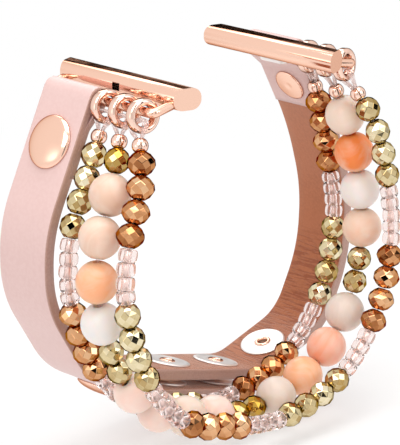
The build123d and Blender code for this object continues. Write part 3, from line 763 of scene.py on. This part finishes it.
# %% Set the snap parts
def placing(origin, axis, facing):
    """The matrix that stands a shape's Z axis along axis, with its X axis towards facing."""
    upward = Vector(axis).normalized()
    across = (Vector(facing) - upward * upward.dot(Vector(facing))).normalized()
    turn = Matrix((across, upward.cross(across), upward)).transposed().to_4x4()
    return Matrix.Translation(Vector(origin)) @ turn


def set_out(name, shape, places, finish, body, slot_name, *nodes, smooth=True):
    """One piece made of copies of a shape, on its body, standing for its CAD nodes."""
    points, faces = [], []
    for place in places:
        first = len(points)
        points += [place @ point for point in shape[0]]
        faces += [tuple(first + index for index in face) for face in shape[1]]
    made = piece(name, points, faces, [finish], smooth=smooth)
    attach(made, body)
    if nodes:
        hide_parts(*nodes)
    return made


def place_on_strap(point, outward, depth=0.0):
    """The matrix on a strap's face at a snap, or on the face inside it at a depth."""
    axis = Vector((outward.x, 0, outward.y))
    origin = Vector((point.x, strap_middle, point.y)) - axis * depth
    return placing(origin, axis * (-1 if depth else 1), (0, 1, 0))


closing_places = [on_run(inner_half, 5, snap_distances[key], 0) for key in ("first", "second")]
inner_places = closing_places + [on_run(inner_half, 4, snap_distances["free"], 0)]
outer_places = [(point + outward * (layer_gap + strap_thickness), outward)
                for point, outward in closing_places]
outer_places.append(on_run(outer_half, 3, snap_distances["spare"], 0))
outer_parts = (("cap", cap_shape, rose_gold, "rose_metal", 0),
               ("socket", knurled(turned(socket_profile, knurl_ribs)), bright_nickel, "steel",
                strap_thickness))
inner_parts = (("stud", turned(stud_profile, fine_sides), rose_gold, "rose_metal", 0),
               ("washer", turned(washer_profile, fine_sides), bright_nickel, "steel", strap_thickness),
               ("eyelet", turned(eyelet_profile, eyelet_sides), rose_gold, "rose_metal", strap_thickness),
               # The hollow post inside each eyelet is painted near-black, as shade in the hole.
               ("hollow_post", turned(hollow_profile, small_sides), painted_shade_brass, "rose_metal",
                strap_thickness))
for body, spots, parts in (("outer_tail", outer_places, outer_parts),
                           ("inner_tail", inner_places, inner_parts)):
    for number, spot in enumerate(spots, start=1):
        for kind, shape, finish, slot_name, depth in parts:
            name = kind + "_" + str(number)
            nodes = [node for node in ("closure_" + name,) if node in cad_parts]
            set_out(name, shape, [place_on_strap(*spot, depth)], finish, body, slot_name, *nodes)
for word, half in (("outer", outer_half), ("inner", inner_half)):
    outward = half["inward"] * -1
    point = half["bar"] + half["along"] * snap_distances["loop"]
    point += outward * (fold_radius + leather_thickness)
    for kind, shape, depth, node in (("cap", cap_shape, 0, "cap"),
                                     ("plate", turned(plate_profile, fine_sides), fold_thickness, "back")):
        set_out(word + "_fold_" + kind, shape, [place_on_strap(point, outward, depth)], rose_gold,
                word + "_strap", "rose_metal", word + "_loop_" + node)
print("snaps", len(outer_places), "outer and", len(inner_places), "inner")

# %% [markdown]
# ## The rings that the strands hang on
# Each ring is closed wire with flat sides and broken edges, polished all round. A torus
# would be too round, so a rounded rectangle is turned. The CAD ring gives the centre,
# and the line from the bar to the strand's first corner gives the direction that the
# ring hangs in.

# %% Turn and hang the rings
ring_radius = 3.3
ring_wire_depth = 1.35
ring_wire_width = 2.1
ring_edge = 0.62
ring_yaw = math.radians(12.0)
ring_sides = 96
strand_letters = ("a", "b", "c")
sides_of_band = (("left", -1), ("right", 1))
across_band = Vector((0, -1, 0))
strand_corners = [(-32.3, -13.2), (-38.9, -25.5), (-39.2, -38.5), (-33.6, -52.2), (-24.0, -62.4),
                  (1.5, -69.0), (20.0, -64.6), (31.0, -52.5), (34.4, -39.0), (33.2, -26.0), (30.8, -14.0)]


def ring_profile():
    """A closed rounded rectangle of (height, radius) pairs."""
    middle = ring_radius - ring_wire_depth / 2
    profile = []
    for quarter in range(4):
        diagonal = math.pi / 4 + quarter * math.pi / 2
        high = math.copysign(ring_wire_width / 2 - ring_edge, math.sin(diagonal))
        wide = math.copysign(ring_wire_depth / 2 - ring_edge, math.cos(diagonal))
        for step in range(6):
            angle = math.pi / 2 * (quarter + step / 5)
            profile.append((high + ring_edge * math.sin(angle),
                            middle + wide + ring_edge * math.cos(angle)))
    return profile


def world_points(node):
    """A CAD node's points in millimetres."""
    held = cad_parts[node]
    return [held.matrix_world @ vertex.co / mm for vertex in held.data.vertices]


def mean(points):
    """The middle of some points."""
    return sum(points, Vector()) / len(points)


ring_shape = turned(ring_profile(), ring_sides, closed=True)
hangs = {}
for word, side in sides_of_band:
    corner = strand_corners[0 if side < 0 else -1]
    hangs[word] = Vector((corner[0] - side * bar_x, 0, corner[1] + bar_drop)).normalized()
    axis = Matrix.Rotation(-side * ring_yaw, 3, hangs[word]) @ across_band
    for letter in strand_letters:
        node = word + "_ring_" + letter
        distinct = {tuple(round(value, 2) for value in point) for point in world_points(node)}
        centre = mean([Vector(point) for point in distinct])
        set_out("hanging_ring_" + word + "_" + letter, ring_shape, [placing(centre, axis, hangs[word])],
                polished_rose, node, "rose_metal", node)
        print(node, [round(value, 3) for value in centre])

# %% [markdown]
# ## Where the beads sit
# The CAD beads say where each bead is. Each solid's middle is found from its mesh, the
# pieces of a strand are put in order from the left cover, and each axis is taken from
# the solid's own two ends.

# %% Read the places of the beads
bead_nodes = {"a": ("gold_beads", "copper_beads", "seed_beads"), "b": ("stones", "gold_beads"),
              "c": ("gold_beads", "copper_beads", "seed_beads")}
end_share = 0.75


def loose_solids(node):
    """The distinct points of each loose solid of a CAD node, in millimetres."""
    keys = [tuple(round(value, 3) for value in point) for point in world_points(node)]
    parents = {key: key for key in keys}

    def root(key):
        while parents[key] != key:
            parents[key] = parents[parents[key]]
            key = parents[key]
        return key

    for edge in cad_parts[node].data.edges:
        one, other = (root(keys[index]) for index in edge.vertices)
        parents[one] = other
    groups = {}
    for key in parents:
        groups.setdefault(root(key), []).append(Vector(key))
    return list(groups.values())


def own_axis(points, middle, guess):
    """The direction between a solid's two ends, near a guessed one."""
    heights = [(point - middle).dot(guess) for point in points]
    top = max(heights)
    high, low = (mean([point for point, height in zip(points, heights) if end * height > top * end_share])
                 for end in (1, -1))
    return (high - low).normalized()


def strand_places(letter):
    """(kind, place, axis) of each piece of a strand from the left cover to the right one."""
    found = []
    for kind in ("crimp_covers",) + bead_nodes[letter]:
        for points in loose_solids("strand_" + letter + "_" + kind):
            found.append((kind, mean(points), points))
    here = min((one for one in found if one[0] == "crimp_covers"), key=lambda one: one[1].x)
    order = [here]
    found.remove(here)
    while found:
        here = min(found, key=lambda one: (one[1] - here[1]).length)
        order.append(here)
        found.remove(here)
    placed = []
    for index, (kind, middle, points) in enumerate(order):
        before = order[max(index - 1, 0)][1]
        after = order[min(index + 1, len(order) - 1)][1]
        placed.append((kind, middle, own_axis(points, middle, (after - before).normalized())))
    return placed


strands = {letter: strand_places(letter) for letter in strand_letters}
for letter, placed in strands.items():
    print("strand", letter, "pieces", len(placed), "from", placed[0][0], "to", placed[-1][0])

# %% [markdown]
# ## Cut glass beads
# Fire-polished beads have rows of diamond facets round a ball, which no ready-made
# sphere has. So the points of each ring stand half a step round from the last, and
# four neighbours make one diamond. Every facet keeps its own random number for the
# colour of its coat, and the amber beads lie at the low end of the ramp.

# %% Cut the glass beads
gold_size = (5.0, 4.5)
copper_size = (5.5, 4.3)
bead_sides = 9
bead_bore = 1.3
bore_depth = 0.5
bead_tones = 0.45
facet_tones = 0.45
amber_beads = {("b", "gold_beads"): (0, 3, 4)}
amber_shift = 0.6
gold_rows = [(-0.5, 0.45), (-0.38, 0.74), (-0.19, 0.945), (0, 1.0), (0.19, 0.945), (0.38, 0.74),
             (0.5, 0.45)]
copper_rows = [(-0.5, 0.42), (-0.37, 0.7), (-0.17, 0.93), (0, 1.0), (0.17, 0.93), (0.37, 0.7), (0.5, 0.42)]
seeded = random.Random(7)


def cut_bead(diameter, length, rows):
    """A faceted bead along Z from (height share, radius share) rows, with its bore."""
    points, faces = [], []
    for row, (height, radius) in enumerate(rows):
        points += circle(radius * diameter / 2, height * length, bead_sides, row % 2 / 2)

    def at(row, step):
        return row * bead_sides + step % bead_sides

    last = len(rows) - 1
    for row in range(1, last):
        for step in range(bead_sides):
            near = step + row % 2
            faces.append((at(row, step), at(row - 1, near), at(row, step + 1), at(row + 1, near)))
    for step in range(bead_sides):
        faces.append((at(0, step), at(0, step + 1), at(1, step)))
        faces.append((at(last, step), at(last - 1, step + last % 2), at(last, step + 1)))
    for row, depth in ((0, bore_depth), (last, -bore_depth)):
        rim = len(points)
        for height in (rows[row][0] * length, rows[row][0] * length + depth):
            points += circle(bead_bore / 2, height, bead_sides, row % 2 / 2)
        for step in range(bead_sides):
            after = (step + 1) % bead_sides
            faces.append((at(row, step), at(row, step + 1), rim + after, rim + step))
            faces.append((rim + step, rim + after, rim + bead_sides + after, rim + bead_sides + step))
    return points, faces


def bevelled(made, width, segments, angle):
    """Edges rounded as a real edge is, so that each catches a thin line of light."""
    bevel = made.modifiers.new("edge", "BEVEL")
    bevel.width = width * mm
    bevel.segments = segments
    bevel.limit_method = "ANGLE"
    bevel.angle_limit = math.radians(angle)


def turned_places(placed, kind):
    """The places of one kind of bead on a strand, each turned round its cord at random."""
    return [placing(middle, axis, across_band) @ Matrix.Rotation(seeded.uniform(0, math.pi), 4, "Z")
            for found, middle, axis in placed if found == kind]


cut_shapes = {"gold_beads": (cut_bead(*gold_size, gold_rows), gold_coat, "gold_bead"),
              "copper_beads": (cut_bead(*copper_size, copper_rows), copper_coat, "copper_bead")}
for letter, placed in strands.items():
    for kind, (shape, finish, slot_name) in cut_shapes.items():
        places = turned_places(placed, kind)
        if not places:
            continue
        beads = set_out("cut_" + kind + "_" + letter, shape, places, finish, "strand_" + letter, slot_name,
                        "strand_" + letter + "_" + kind, smooth=False)
        ambers = amber_beads.get((letter, kind), ())
        tones = [seeded.random() * bead_tones - (number in ambers) * amber_shift
                 for number in range(len(places))]
        mark(beads, "facet", "FACE", [tones[index // len(shape[1])] + seeded.random() * facet_tones
                                      for index in range(len(beads.data.polygons))])
        bevelled(beads, 0.05, 1, 8)
        print(beads.name, "beads", len(places))

# %% [markdown]
# ## Stones
# The stones are drilled, polished balls a little shorter than they are wide. A hole
# could be cut through a sphere, but one profile turns the ball, its softened rim and
# its bore at once. Each takes one of a few tints, in the order seen along the strand.

# %% Turn the stones
stone_diameter = 8.0
stone_length = 7.8
stone_bore = 1.7
stone_mouth = 1.32
stone_sides = 64
stone_tints = {"white": (0.86, 0.80, 0.77), "grey_white": (0.82, 0.78, 0.76),
               "warm_grey": (0.72, 0.61, 0.54), "beige": (0.78, 0.56, 0.44),
               "pale_peach": (0.85, 0.69, 0.58), "warm_peach": (0.88, 0.60, 0.45),
               "peach": (0.94, 0.46, 0.25), "pale_pink": (0.90, 0.67, 0.59),
               "salmon": (0.93, 0.42, 0.28), "orange": (0.95, 0.27, 0.06)}
stone_order = ["beige", "beige", "peach", "grey_white", "pale_pink", "pale_pink", "pale_peach", "pale_pink",
               "warm_grey", "peach", "salmon", "warm_grey", "warm_peach", "white", "orange", "pale_peach"]


def ball_profile(length, diameter, mouth, steps):
    """A ball's (height, radius) pairs, cut off where its radius falls to a share of its own."""
    reach = math.acos(mouth)
    angles = [-reach + 2 * reach * step / steps for step in range(steps + 1)]
    return [(length / 2 * math.sin(angle) / math.sin(reach), diameter / 2 * math.cos(angle))
            for angle in angles]


def stone_profile():
    """A ball from one drilled end to the other, with the hole's softened rim."""
    half, bore = stone_length / 2, stone_bore / 2
    low_rim = scaled(bore, (1.2 - half, 0.96), (0.3 - half, 0.98), (0.1 - half, 1.05), (0.02 - half, 1.22))
    ball = ball_profile(stone_length, stone_diameter, stone_mouth * stone_bore / stone_diameter, 24)
    return low_rim + ball + [(-height, across) for height, across in reversed(low_rim)]


stone_places = turned_places(strands["b"], "stones")
stone_shape = turned(stone_profile(), stone_sides)
stones = set_out("polished_stones", stone_shape, stone_places, stone_finish, "strand_b", "stone",
                 "strand_b_stones")
colours = []
for tint in stone_order:
    colours += [*stone_tints[tint], 1.0] * len(stone_shape[0])
stones.data.color_attributes.new("stone_tint", "FLOAT_COLOR", "POINT").data.foreach_set("color", colours)
print("stones", len(stone_places))

# %% [markdown]
# ## Seed beads
# A seed bead is a short length of glass tube with its ends melted round. A bright
# silver lining inside the hole is what makes it sparkle, so that is made too, as a
# thin tube of its own, rather than painted on the outside.

# %% Melt the seed beads
seed_diameter = 3.6
seed_length = 2.36
seed_bore = 1.15
seed_play = 0.14
seed_sides = 40
lining_sides = 24
seed_steps = 24
seed_end_power = 0.8
seed_side_power = 0.62


def seed_profile():
    """A rounded tube's section as one closed loop of (height, radius) pairs."""
    middle = (seed_diameter + seed_bore) / 4
    thick, tall = (seed_diameter - seed_bore) / 4, seed_length / 2
    profile = []
    for step in range(seed_steps):
        angle = 2 * math.pi * step / seed_steps
        across, along = math.cos(angle), math.sin(angle)
        profile.append((tall * math.copysign(abs(along) ** seed_end_power, along),
                        middle + thick * math.copysign(abs(across) ** seed_side_power, across)))
    return profile


lining_tube = [(-1.1, 0.565), (1.1, 0.565), (1.1, 0.5), (-1.1, 0.5)]
seed_layers = (("seed_glass_", turned(seed_profile(), seed_sides, closed=True), seed_glass,
                ["_seed_beads"]),
               ("seed_lining_", turned(lining_tube, lining_sides, closed=True), seed_lining, []))
for letter in ("a", "c"):
    places = []
    for kind, middle, axis in strands[letter]:
        if kind == "seed_beads":
            slip = Vector((seeded.uniform(-1, 1), seeded.uniform(-1, 1), 0)) * seed_play
            places.append(placing(middle + slip, axis, across_band))
    for label, shape, finish, nodes in seed_layers:
        set_out(label + letter, shape, places, finish, "strand_" + letter, "seed_bead",
                *["strand_" + letter + node for node in nodes])
    print("seed beads on", letter, len(places))

# %% [markdown]
# ## Crimps and their covers
# Each end of a cord is held in a small brass tube, pressed flat on it, and a folded
# ball closes over the tube. A whole ball would hide how it closes, so its section is
# swept round and stops just short, which leaves the seam that faces out.

# %% Fold the covers
cover_diameter = 3.1
cover_length = 2.4
cover_seam = 0.2
cover_sides = 56
cover_mouth = 0.64
seam_side = Vector((-0.6, -0.8, 0.2))
crimp_tube = [(-0.75, 0.76), (-0.7, 0.92), (-0.55, 0.95), (0.55, 0.95), (0.7, 0.92), (0.75, 0.76),
              (0.7, 0.7), (-0.7, 0.7)]


def folded_cover():
    """A ball with a bore, open along a narrow seam on its X side."""
    half = cover_length / 2
    profile = ball_profile(cover_length, cover_diameter, cover_mouth, 16)
    profile += [(half - 0.06, 0.97), (half - 0.3, 1.02), (0.3 - half, 1.02), (0.06 - half, 0.97)]
    opening = cover_seam / cover_diameter
    points = []
    for step in range(cover_sides + 1):
        angle = opening + (2 * math.pi - 2 * opening) * step / cover_sides
        points += [Vector((across * math.cos(angle), across * math.sin(angle), height))
                   for height, across in profile]
    return points, tube_faces(cover_sides + 1, len(profile))


for letter in strand_letters:
    places = [placing(middle, axis, seam_side)
              for kind, middle, axis in strands[letter] if kind == "crimp_covers"]
    for label, shape, finish, slot_name, node in (
            ("folded_covers_", folded_cover(), polished_rose, "rose_metal", "_crimp_covers"),
            ("pressed_crimps_", turned(crimp_tube, small_sides, closed=True), satin_brass, "crimp",
             "_crimps")):
        held = set_out(label + letter, shape, places, finish, "strand_" + letter, slot_name,
                       "strand_" + letter + node)
        bevelled(held, 0.04, 2, 50)
print("covers placed")

# %% [markdown]
# ## The elastic cords
# Each cord runs from crimp to crimp through all its beads, and doubles back round its
# two rings. It is a curve with a round bevel, which stays smooth from close by, and its
# control points are the model's own, so it lies in the same line. It passes each ring
# three times, side by side, as elastic is looped for strength.

# %% Lay the cords
cord_radius = 0.3
strand_y = {
    "a": [-3.0, -3.6, -4.1, -4.2, -4.2, -4.2, -4.2, -4.2, -4.1, -3.6, -2.8],
    "b": [-9.7, -11.3, -12.0, -12.1, -12.1, -12.1, -12.1, -12.1, -11.9, -11.3, -9.8],
    "c": [-16.9, -18.9, -19.7, -19.8, -19.8, -19.8, -19.8, -19.8, -19.7, -19.3, -18.0],
}
ring_y = {"a": -2.5, "b": -7.25, "c": -12.0}
link_to_bar = 3.35
cover_to_link = {"left": 3.2, "right": 4.2}
crimp_length = 1.5
loop_clearance = 0.35
cord_pass_step = 0.5
cord_smoothness = 8
cord_roundness = 4


def add_cord(curve, points):
    """One smooth stretch of cord through its control points."""
    spline = curve.splines.new("NURBS")
    spline.points.add(len(points) - 1)
    for control, point in zip(spline.points, points):
        control.co = (*(point * mm), 1)
    spline.order_u = 3
    spline.use_endpoint_u = True
    spline.resolution_u = cord_smoothness


def loop_points(link, heading, reach, beside_ring):
    """Round the ring and back: up one side, over its wire and down the other side."""
    across = (across_band - heading * across_band.dot(heading)).normalized()
    spread = heading.cross(across) * beside_ring
    wide = ring_wire_width / 2 + cord_radius + loop_clearance
    mouth = reach - cover_length / 2
    deep = reach + crimp_length / 2
    places = [(-cord_radius, deep), (-cord_radius, mouth), (-wide, 0), (-wide, -wide),
              (wide, -wide), (wide, 0), (cord_radius, mouth), (cord_radius, deep)]
    return [link + across * sideways + heading * down + spread * (down < mouth)
            for sideways, down in places]


for letter in strand_letters:
    curve = bpy.data.curves.new("elastic_cord_" + letter, "CURVE")
    curve.dimensions = "3D"
    curve.bevel_depth = cord_radius * mm
    curve.bevel_resolution = cord_roundness
    curve.use_fill_caps = True
    corners = [Vector((x, y, z)) for (x, z), y in zip(strand_corners, strand_y[letter])]
    ends = []
    for word, side in sides_of_band:
        link = Vector((side * bar_x, ring_y[letter], -bar_drop)) + hangs[word] * link_to_bar
        heading = (corners[0 if side < 0 else -1] - link).normalized()
        reach = cover_to_link[word]
        ends.append(link + heading * (reach - crimp_length / 2))
        for beside_ring in (-cord_pass_step, 0, cord_pass_step):
            add_cord(curve, loop_points(link, heading, reach, beside_ring))
    add_cord(curve, [ends[0]] + corners + [ends[1]])
    curve.materials.append(elastic)
    cord = in_scene("elastic_cord_" + letter, curve)
    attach(cord, "strand_" + letter)
    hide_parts("strand_" + letter + "_cord")
print("cords laid")

# %% [markdown]
# ## The lug adapters
# The inserts, their bails, the lock buttons and the springs keep the model's own
# shapes, which are already exact. They only get a finish, and on the larger ones edges
# that are softly broken.

# %% Finish the adapters
weld_distance = 0.001
for word, side in sides_of_band:
    for node, finish, slot_name, width in (
            ("_lug_insert", rose_gold, "rose_metal", 0.1), ("_bar_bail", rose_gold, "rose_metal", 0.0),
            ("_lock_button", bright_nickel, "steel", 0.12), ("_lock_spring", spring_steel, "steel", 0.0)):
        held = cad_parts[word + node]
        held.data.materials.clear()
        held.data.materials.append(finish)
        held.modifiers.new("weld", "WELD").merge_threshold = weld_distance * mm
        if width:
            bevelled(held, width, 2, 25)
print("adapters finished")

# %% [markdown]
# ## The stage
# A white room lights the band at half the strength that the camera and the
# reflections see. The floor keeps the soft shadow, and fades into the white behind it.

# %% Set the room and the floor
floor_gap = 0.0006
floor_half = 1.5
band_middle = Vector((0, 0, -0.03))

room = bpy.data.worlds.new("white_room")
bpy.context.scene.world = room
room.use_nodes = True
tree = room.node_tree
path = add_node(tree, "LightPath")
shown = (path, "Is Camera Ray")
for ray in ("Transmission", "Glossy"):
    shown = add_node(tree, "Math", {0: shown, 1: (path, "Is " + ray + " Ray")}, operation="MAXIMUM")
power = add_node(tree, "MapRange", {"Value": shown, "To Min": 0.5})
set_inputs(tree.nodes["Background"], {"Color": (1.0, 0.99, 0.985), "Strength": power})


def sheet_of(name, centre, across, upward, finish):
    """A flat rectangle given by its middle and its two half sides, in metres."""
    mesh = bpy.data.meshes.new(name)
    mesh.from_pydata([centre - across - upward, centre + across - upward,
                      centre + across + upward, centre - across + upward], [], [(0, 1, 2, 3)])
    mesh.uv_layers.new(name="sheet").data.foreach_set("uv", [0, 0, 1, 0, 1, 1, 0, 1])
    mesh.materials.append(finish)
    made = in_scene(name, mesh)
    return made


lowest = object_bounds()[0][2]
floor_finish, tree, shader = finish_named("white_floor", {
    "Base Color": (0.94, 0.94, 0.94), "Roughness": 0.7, "Specular IOR Level": 0.2})
glow = add_node(tree, "Emission", {"Color": (1, 1, 1), "Strength": 1.0})
far = add_node(tree, "VectorMath", {0: own_place(tree)}, operation="LENGTH")
fade = add_node(tree, "MapRange", interpolation_type="SMOOTHSTEP",
                inputs={"Value": (far, "Value"), "From Min": 0.09, "From Max": 0.24, "To Min": 0.5})
set_inputs(tree.nodes["Material Output"],
           {"Surface": add_node(tree, "MixShader", {"Fac": fade, 1: shader, 2: glow})})
sheet_of("floor", Vector((0, 0, lowest - floor_gap)), Vector((floor_half, 0, 0)),
         Vector((0, floor_half, 0)), floor_finish)
print("floor at", round(lowest - floor_gap, 4))

# %% [markdown]
# ## The lamps
# Four soft lamps light the band, strongest from above. They are wide area lamps, since
# small ones would leave hard shadows and points of light in the metal.

# %% Hang the lamps
def softbox(name, azimuth, elevation, distance, width, height, watts, colour=(1, 1, 1)):
    """An area lamp that faces the band from a direction in degrees."""
    data = bpy.data.lights.new(name, "AREA")
    data.shape = "RECTANGLE"
    data.size, data.size_y = width, height
    data.energy = watts
    data.color = colour
    lamp = in_scene(name, data)
    toward = directions(azimuth, elevation)[0]
    lamp.matrix_world = placing(band_middle + toward * distance, toward, (0.001, 0.001, 1))
    return lamp


lamps = [softbox("key", -75, 40, 0.6, 0.30, 0.30, 1.15, (1.0, 0.985, 0.97)),
         softbox("fill", 10, 30, 0.7, 0.40, 0.40, 0.9), softbox("top", -45, 85, 0.6, 0.45, 0.45, 2.2),
         softbox("back", 150, 40, 0.6, 0.35, 0.25, 0.6)]
print("lamps", len(lamps))

# %% [markdown]
# ## Cards for the reflections
# Metal needs something to reflect. Each card is flat and hidden from the camera and
# from the diffuse light. The black ones draw dark bands in the polished metal and the
# cut glass, and the bright one puts a soft highlight on the caps. Their edges fade
# out, so that the bands are soft.

# %% Stand the cards
def soft_card(name, strength, soft_share):
    """A card that glows or stays black, and fades out over a share of its width at each edge."""
    finish, tree, shader = finish_named(name, {})
    tree.nodes.remove(shader)
    split = add_node(tree, "SeparateXYZ", {0: (add_node(tree, "TexCoord"), "UV")})
    eases = []
    for axis in "XY":
        fall = add_node(tree, "Math", {0: (split, axis), 1: 0.5}, operation="PINGPONG")
        eases.append(add_node(tree, "MapRange", {"Value": fall, "From Max": soft_share},
                              interpolation_type="SMOOTHSTEP"))
    both = add_node(tree, "Math", dict(enumerate(eases)), operation="MULTIPLY")
    glow = add_node(tree, "Emission", {"Color": (1.0, 0.97, 0.95), "Strength": strength})
    soft = add_node(tree, "MixShader", {"Fac": both, 1: add_node(tree, "BsdfTransparent"), 2: glow})
    set_inputs(tree.nodes["Material Output"], {"Surface": soft})
    return finish


black_card = soft_card("black_card", 0.0, 0.3)
bright_card = soft_card("bright_card", 2.2, 0.5)


def stand_card(name, azimuth, elevation, distance, width, height, finish=black_card):
    """A card that faces the band, seen only in reflections."""
    toward, level, upward = directions(azimuth, elevation)
    card = sheet_of(name, toward * distance + band_middle, level * width / 2, upward * height / 2, finish)
    for ray in ("camera", "diffuse", "shadow", "transmission"):
        setattr(card, "visible_" + ray, False)
    return card


cards = [stand_card("card_left", -60, 8, 0.45, 0.1, 0.6),
         stand_card("card_middle", -20, 20, 0.5, 0.1, 0.7),
         stand_card("card_side", 12, 12, 0.5, 0.08, 0.6),
         stand_card("card_right", 48, 10, 0.45, 0.16, 0.6),
         stand_card("card_low", -45, -32, 0.4, 0.7, 0.14),
         stand_card("card_behind", 135, 6, 0.6, 0.95, 0.5),
         stand_card("card_bright", -106, 6, 0.5, 0.42, 0.34, bright_card)]
print("cards", len(cards))
